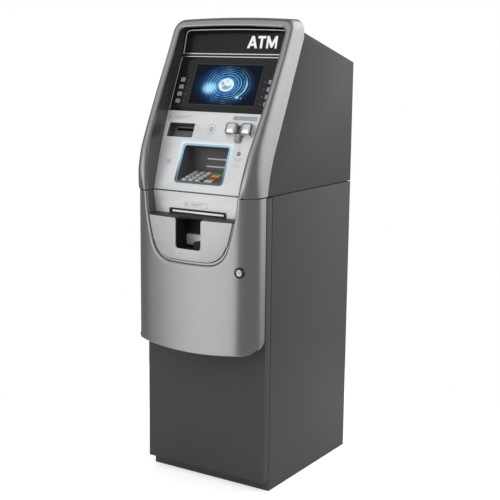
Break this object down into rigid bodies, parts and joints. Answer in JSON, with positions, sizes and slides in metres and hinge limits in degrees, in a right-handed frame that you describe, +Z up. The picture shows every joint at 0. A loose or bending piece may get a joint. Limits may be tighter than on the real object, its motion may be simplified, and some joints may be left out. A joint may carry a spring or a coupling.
{
  "type": "cash machine",
  "caption": "Free-standing cash machine: steel safe cabinet with hinged door, leaning upper housing, and two hinged silver fascias with screen, keypad, card reader and cash tray.",
  "frame": {"origin": "centre of the four floor anchor holes, on the floor face of the base", "axes": "+Z up, -Y towards the customer, +X to the customer's right"},
  "size_m": [0.4, 0.5698, 1.3145],
  "materials": {
    "graphite_paint": "fine textured powder coat",
    "silver_plastic": "metallic silver paint, satin",
    "silver_panel": "light silver paint, satin",
    "black_gloss": "gloss",
    "black_plastic": "fine moulded grain",
    "steel": "satin",
    "zinc_sheet": "zinc plated",
    "zinc_cast": "cast, satin",
    "cassette_plastic": "moulded grain",
    "rubber": "matt",
    "screen": "lit display",
    "chrome_plastic": "bright metallised plastic",
    "led_diffuser": "translucent pale blue",
    "paper": "paper",
    "key_silver": "satin",
    "key_light": "satin metal look",
    "key_green": "satin",
    "key_yellow": "satin",
    "key_red": "satin"
  },
  "bodies": {
    "cabinet": {"safe_body": "graphite_paint", "upper_housing": "graphite_paint", "rear_panel": "graphite_paint", "power_inlet": "black_plastic", "hinge_pins": "steel", "computer_box": "zinc_sheet", "dispenser_frame": "zinc_sheet", "cash_cassette": "cassette_plastic", "drive_belt": "rubber"},
    "door": {"safe_door": "graphite_paint"},
    "bolts": {"door_bolts": "steel"},
    "handle": {"door_handle": "zinc_cast"},
    "dial": {"combination_dial": "black_plastic"},
    "lower": {"lower_fascia": "silver_plastic", "lower_frame": "zinc_sheet", "cash_slot_panel": "silver_panel", "tray_panel": "silver_panel", "cash_tray": "black_plastic", "lock_housing": "black_plastic"},
    "shutter": {"cash_shutter": "steel"},
    "lock": {"lock_cylinder": "steel"},
    "upper": {"upper_fascia": "silver_plastic", "upper_frame": "zinc_sheet", "header_panel": "black_gloss", "display_bezel": "black_gloss", "display_module": "screen", "control_panel": "silver_panel", "card_reader_bezel": "chrome_plastic", "card_reader_module": "black_plastic", "pin_pad_tray": "black_plastic", "led_rim": "led_diffuser", "receipt_chute": "black_plastic", "receipt_printer": "black_plastic"},
    "roll": {"paper_roll": "paper"},
    "pick": {"pick_rollers": "rubber"},
    "feed": {"feed_rollers": "rubber"},
    "fkey_left_1": {"fkey_left_1": "key_silver"},
    "fkey_left_2": {"fkey_left_2": "key_silver"},
    "fkey_left_3": {"fkey_left_3": "key_silver"},
    "fkey_left_4": {"fkey_left_4": "key_silver"},
    "fkey_right_1": {"fkey_right_1": "key_silver"},
    "fkey_right_2": {"fkey_right_2": "key_silver"},
    "fkey_right_3": {"fkey_right_3": "key_silver"},
    "fkey_right_4": {"fkey_right_4": "key_silver"},
    "pin_key_1": {"pin_key_1": "key_light"},
    "pin_key_2": {"pin_key_2": "key_light"},
    "pin_key_3": {"pin_key_3": "key_light"},
    "pin_key_cancel": {"pin_key_cancel": "key_green"},
    "pin_key_4": {"pin_key_4": "key_light"},
    "pin_key_5": {"pin_key_5": "key_light"},
    "pin_key_6": {"pin_key_6": "key_light"},
    "pin_key_clear": {"pin_key_clear": "key_yellow"},
    "pin_key_7": {"pin_key_7": "key_light"},
    "pin_key_8": {"pin_key_8": "key_light"},
    "pin_key_9": {"pin_key_9": "key_light"},
    "pin_key_enter": {"pin_key_enter": "key_red"},
    "pin_key_left": {"pin_key_left": "key_light"},
    "pin_key_0": {"pin_key_0": "key_light"},
    "pin_key_right": {"pin_key_right": "key_light"},
    "pin_key_blank": {"pin_key_blank": "key_light"}
  },
  "joints": [
    {"name": "upper_fascia_lift", "type": "hinge", "parent": "cabinet", "child": "upper", "pos_m": [0, -0.067, 1.283], "axis": [-1, 0, 0], "range_deg": [0, 60]},
    {"name": "lower_fascia_swing", "type": "hinge", "parent": "door", "child": "lower", "pos_m": [-0.192, -0.266, 0.65], "axis": [0, 0, -1], "range_deg": [0, 85]},
    {"name": "safe_door_swing", "type": "hinge", "parent": "cabinet", "child": "door", "pos_m": [-0.191, -0.236, 0.5], "axis": [0, 0, -1], "range_deg": [0, 95]},
    {"name": "handle_turn", "type": "hinge", "parent": "door", "child": "handle", "pos_m": [0.07, -0.254, 0.5], "axis": [0, 1, 0], "range_deg": [0, 90]},
    {"name": "bolt_slide", "type": "slide", "parent": "door", "child": "bolts", "axis": [1, 0, 0], "range_m": [0, 0.016]},
    {"name": "dial_spin", "type": "hinge", "parent": "door", "child": "dial", "pos_m": [0.07, -0.254, 0.61], "axis": [0, 1, 0], "continuous": true},
    {"name": "lock_turn", "type": "hinge", "parent": "lower", "child": "lock", "pos_m": [0.161, -0.331, 0.642], "axis": [0, -1, 0], "range_deg": [0, 90]},
    {"name": "shutter_flap", "type": "hinge", "parent": "lower", "child": "shutter", "pos_m": [0, -0.2905, 0.788], "axis": [-1, 0, 0], "range_deg": [0, 45], "stiffness_Nm_per_rad": 0.02, "springref_deg": -5.73},
    {"name": "pick_spin", "type": "hinge", "parent": "cabinet", "child": "pick", "pos_m": [0, -0.11, 0.62], "axis": [1, 0, 0], "continuous": true},
    {"name": "feed_spin", "type": "hinge", "parent": "cabinet", "child": "feed", "pos_m": [0, -0.15, 0.76], "axis": [1, 0, 0], "continuous": true},
    {"name": "roll_spin", "type": "hinge", "parent": "upper", "child": "roll", "pos_m": [-0.11, -0.106, 0.972], "axis": [1, 0, 0], "continuous": true},
    {"name": "fkey_left_1_press", "type": "slide", "parent": "upper", "child": "fkey_left_1", "axis": [0, 0.91, -0.4147], "range_m": [0, 0.0015], "stiffness_N_per_m": 300, "springref_m": -0.001},
    {"name": "fkey_left_2_press", "type": "slide", "parent": "upper", "child": "fkey_left_2", "axis": [0, 0.91, -0.4147], "range_m": [0, 0.0015], "stiffness_N_per_m": 300, "springref_m": -0.001},
    {"name": "fkey_left_3_press", "type": "slide", "parent": "upper", "child": "fkey_left_3", "axis": [0, 0.91, -0.4147], "range_m": [0, 0.0015], "stiffness_N_per_m": 300, "springref_m": -0.001},
    {"name": "fkey_left_4_press", "type": "slide", "parent": "upper", "child": "fkey_left_4", "axis": [0, 0.91, -0.4147], "range_m": [0, 0.0015], "stiffness_N_per_m": 300, "springref_m": -0.001},
    {"name": "fkey_right_1_press", "type": "slide", "parent": "upper", "child": "fkey_right_1", "axis": [0, 0.91, -0.4147], "range_m": [0, 0.0015], "stiffness_N_per_m": 300, "springref_m": -0.001},
    {"name": "fkey_right_2_press", "type": "slide", "parent": "upper", "child": "fkey_right_2", "axis": [0, 0.91, -0.4147], "range_m": [0, 0.0015], "stiffness_N_per_m": 300, "springref_m": -0.001},
    {"name": "fkey_right_3_press", "type": "slide", "parent": "upper", "child": "fkey_right_3", "axis": [0, 0.91, -0.4147], "range_m": [0, 0.0015], "stiffness_N_per_m": 300, "springref_m": -0.001},
    {"name": "fkey_right_4_press", "type": "slide", "parent": "upper", "child": "fkey_right_4", "axis": [0, 0.91, -0.4147], "range_m": [0, 0.0015], "stiffness_N_per_m": 300, "springref_m": -0.001},
    {"name": "pin_key_1_press", "type": "slide", "parent": "upper", "child": "pin_key_1", "axis": [0, 0.2588, -0.9659], "range_m": [0, 0.002], "stiffness_N_per_m": 300, "springref_m": -0.001},
    {"name": "pin_key_2_press", "type": "slide", "parent": "upper", "child": "pin_key_2", "axis": [0, 0.2588, -0.9659], "range_m": [0, 0.002], "stiffness_N_per_m": 300, "springref_m": -0.001},
    {"name": "pin_key_3_press", "type": "slide", "parent": "upper", "child": "pin_key_3", "axis": [0, 0.2588, -0.9659], "range_m": [0, 0.002], "stiffness_N_per_m": 300, "springref_m": -0.001},
    {"name": "pin_key_cancel_press", "type": "slide", "parent": "upper", "child": "pin_key_cancel", "axis": [0, 0.2588, -0.9659], "range_m": [0, 0.002], "stiffness_N_per_m": 300, "springref_m": -0.001},
    {"name": "pin_key_4_press", "type": "slide", "parent": "upper", "child": "pin_key_4", "axis": [0, 0.2588, -0.9659], "range_m": [0, 0.002], "stiffness_N_per_m": 300, "springref_m": -0.001},
    {"name": "pin_key_5_press", "type": "slide", "parent": "upper", "child": "pin_key_5", "axis": [0, 0.2588, -0.9659], "range_m": [0, 0.002], "stiffness_N_per_m": 300, "springref_m": -0.001},
    {"name": "pin_key_6_press", "type": "slide", "parent": "upper", "child": "pin_key_6", "axis": [0, 0.2588, -0.9659], "range_m": [0, 0.002], "stiffness_N_per_m": 300, "springref_m": -0.001},
    {"name": "pin_key_clear_press", "type": "slide", "parent": "upper", "child": "pin_key_clear", "axis": [0, 0.2588, -0.9659], "range_m": [0, 0.002], "stiffness_N_per_m": 300, "springref_m": -0.001},
    {"name": "pin_key_7_press", "type": "slide", "parent": "upper", "child": "pin_key_7", "axis": [0, 0.2588, -0.9659], "range_m": [0, 0.002], "stiffness_N_per_m": 300, "springref_m": -0.001},
    {"name": "pin_key_8_press", "type": "slide", "parent": "upper", "child": "pin_key_8", "axis": [0, 0.2588, -0.9659], "range_m": [0, 0.002], "stiffness_N_per_m": 300, "springref_m": -0.001},
    {"name": "pin_key_9_press", "type": "slide", "parent": "upper", "child": "pin_key_9", "axis": [0, 0.2588, -0.9659], "range_m": [0, 0.002], "stiffness_N_per_m": 300, "springref_m": -0.001},
    {"name": "pin_key_enter_press", "type": "slide", "parent": "upper", "child": "pin_key_enter", "axis": [0, 0.2588, -0.9659], "range_m": [0, 0.002], "stiffness_N_per_m": 300, "springref_m": -0.001},
    {"name": "pin_key_left_press", "type": "slide", "parent": "upper", "child": "pin_key_left", "axis": [0, 0.2588, -0.9659], "range_m": [0, 0.002], "stiffness_N_per_m": 300, "springref_m": -0.001},
    {"name": "pin_key_0_press", "type": "slide", "parent": "upper", "child": "pin_key_0", "axis": [0, 0.2588, -0.9659], "range_m": [0, 0.002], "stiffness_N_per_m": 300, "springref_m": -0.001},
    {"name": "pin_key_right_press", "type": "slide", "parent": "upper", "child": "pin_key_right", "axis": [0, 0.2588, -0.9659], "range_m": [0, 0.002], "stiffness_N_per_m": 300, "springref_m": -0.001},
    {"name": "pin_key_blank_press", "type": "slide", "parent": "upper", "child": "pin_key_blank", "axis": [0, 0.2588, -0.9659], "range_m": [0, 0.002], "stiffness_N_per_m": 300, "springref_m": -0.001}
  ],
  "couplings": [
    {"joint": "bolt_slide", "follows": "handle_turn", "m_per_rad": 0.01018},
    {"joint": "feed_spin", "follows": "pick_spin", "ratio": 1}
  ]
}
